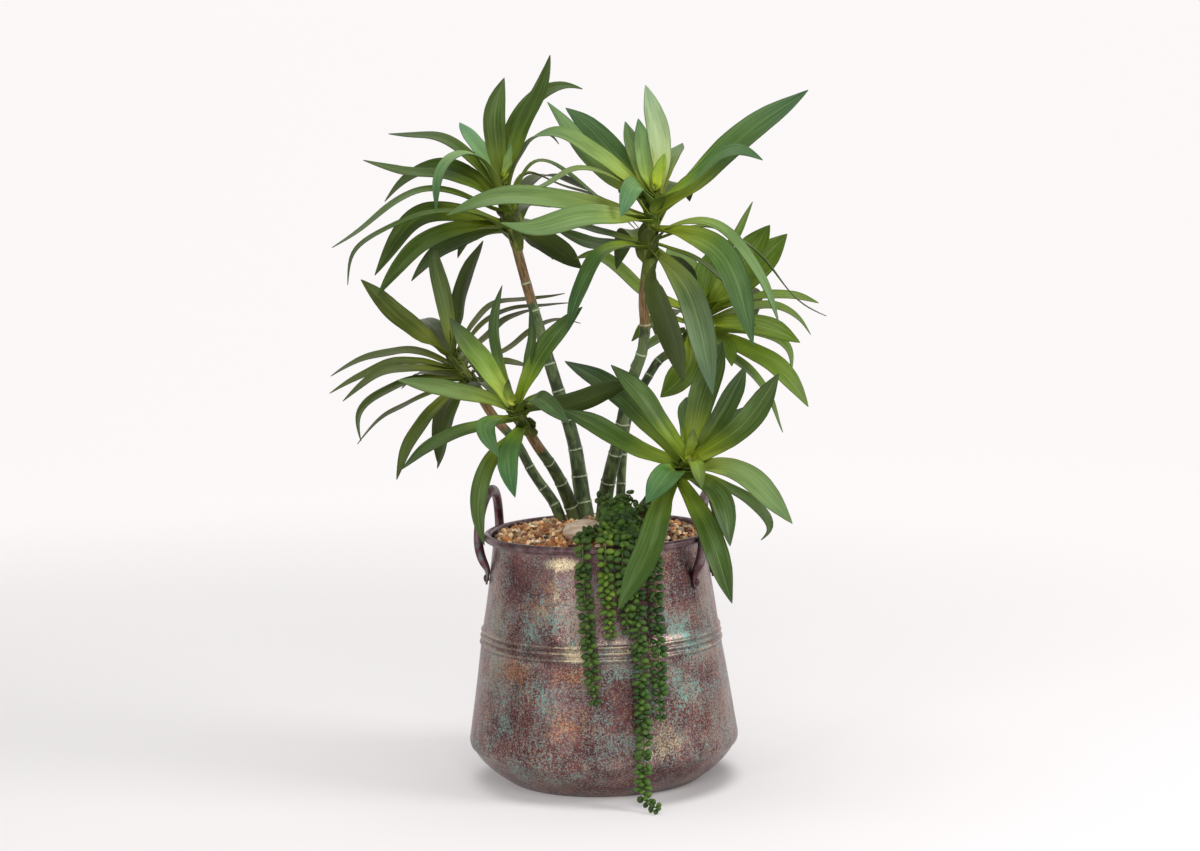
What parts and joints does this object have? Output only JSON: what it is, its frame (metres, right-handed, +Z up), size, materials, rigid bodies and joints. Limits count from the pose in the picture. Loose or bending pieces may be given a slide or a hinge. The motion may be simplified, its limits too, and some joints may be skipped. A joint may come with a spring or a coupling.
{
  "type": "potted yucca",
  "caption": "Yucca with branching ringed canes and strap-leaf heads, growing with trailing sedum in a riveted, patinated metal pot with strap handles and a gravel topping",
  "frame": {"origin": "the middle of the pot's flat underside, where it rests", "axes": "+Z up along the pot's axis, -Y towards the side the trailing sedum hangs on, +X to the right seen from there"},
  "size_m": [0.504, 0.3716, 0.73],
  "materials": {
    "pot_metal": "satin",
    "handle_metal": "satin",
    "rivet_metal": "satin",
    "mix": "matte",
    "gravel": "matte",
    "pebble": "matte",
    "cane": "satin",
    "leaf": "satin",
    "sedum": "satin"
  },
  "bodies": {
    "root": {"pot": "pot_metal", "handle_right": "handle_metal", "handle_left": "handle_metal", "rivet_right_front": "rivet_metal", "rivet_right_rear": "rivet_metal", "rivet_left_front": "rivet_metal", "rivet_left_rear": "rivet_metal", "potting_mix": "mix", "gravel_topping": "gravel", "pebble": "pebble", "cane_a": "cane", "cane_b": "cane", "cane_c": "cane", "cane_d": "cane", "cane_e": "cane", "cane_f": "cane", "leaves_a_upper": "leaf", "leaves_a_middle": "leaf", "leaves_a_lower": "leaf", "leaves_b_upper": "leaf", "leaves_b_middle": "leaf", "leaves_b_lower": "leaf", "leaves_c_upper": "leaf", "leaves_c_middle": "leaf", "leaves_c_lower": "leaf", "leaves_d_upper": "leaf", "leaves_d_middle": "leaf", "leaves_d_lower": "leaf", "leaves_e_upper": "leaf", "leaves_e_middle": "leaf", "leaves_e_lower": "leaf", "leaves_f_upper": "leaf", "leaves_f_middle": "leaf", "leaves_f_lower": "leaf", "sedum_clump": "sedum", "sedum_strand_1": "sedum", "sedum_strand_2": "sedum", "sedum_strand_3": "sedum", "sedum_strand_4": "sedum", "sedum_strand_5": "sedum"}
  },
  "joints": []
}
